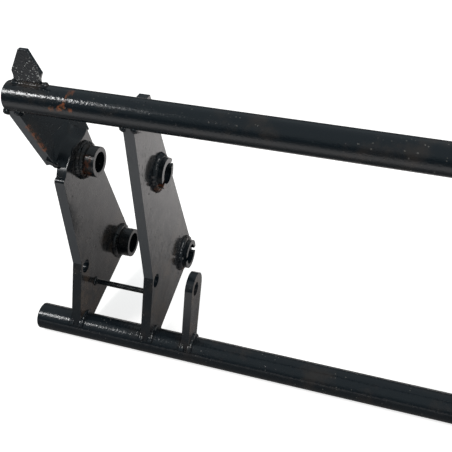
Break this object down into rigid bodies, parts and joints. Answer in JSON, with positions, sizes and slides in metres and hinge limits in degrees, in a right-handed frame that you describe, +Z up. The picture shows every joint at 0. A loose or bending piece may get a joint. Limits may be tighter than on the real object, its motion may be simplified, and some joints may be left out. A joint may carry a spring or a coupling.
{
  "type": "loader quick change frame",
  "caption": "Welded carrier frame for a front loader: two cross tubes joined by drilled side plates, with bushes for arm and tilt pins, hook guide fins and locking pin lugs.",
  "frame": {"origin": "middle of the top tube's axis, on which the attachment's hooks rest", "axes": "+X along the tubes, -Y towards the attachment, +Z up"},
  "size_m": [1.242, 0.2659, 0.642],
  "materials": {
    "black_paint_tube": "glossy black paint with a faint blue tint, a rust patch and speckles",
    "black_paint_plate": "glossy black paint on flame-cut plate, warm grey where it catches the light",
    "black_paint_boss": "glossy black paint on turned bushes, thin and brownish beside the welds",
    "black_paint_fin": "glossy black paint with weld spatter",
    "black_paint_rod": "glossy black paint on threaded rod"
  },
  "bodies": {
    "root": {"top_tube": "black_paint_tube", "bottom_tube": "black_paint_tube", "outer_plate_left": "black_paint_plate", "outer_plate_right": "black_paint_plate", "inner_plate_left": "black_paint_plate", "inner_plate_right": "black_paint_plate", "brace_left": "black_paint_plate", "brace_right": "black_paint_plate", "lug_left": "black_paint_plate", "lug_right": "black_paint_plate", "tilt_bush_outer_left": "black_paint_boss", "tilt_bush_outer_right": "black_paint_boss", "tilt_bush_inner_left": "black_paint_boss", "tilt_bush_inner_right": "black_paint_boss", "arm_bush_outer_left": "black_paint_boss", "arm_bush_outer_right": "black_paint_boss", "arm_bush_inner_left": "black_paint_boss", "arm_bush_inner_right": "black_paint_boss", "guide_fin_left": "black_paint_fin", "guide_fin_right": "black_paint_fin", "cross_rod_left": "black_paint_rod", "cross_rod_right": "black_paint_rod"}
  },
  "joints": []
}
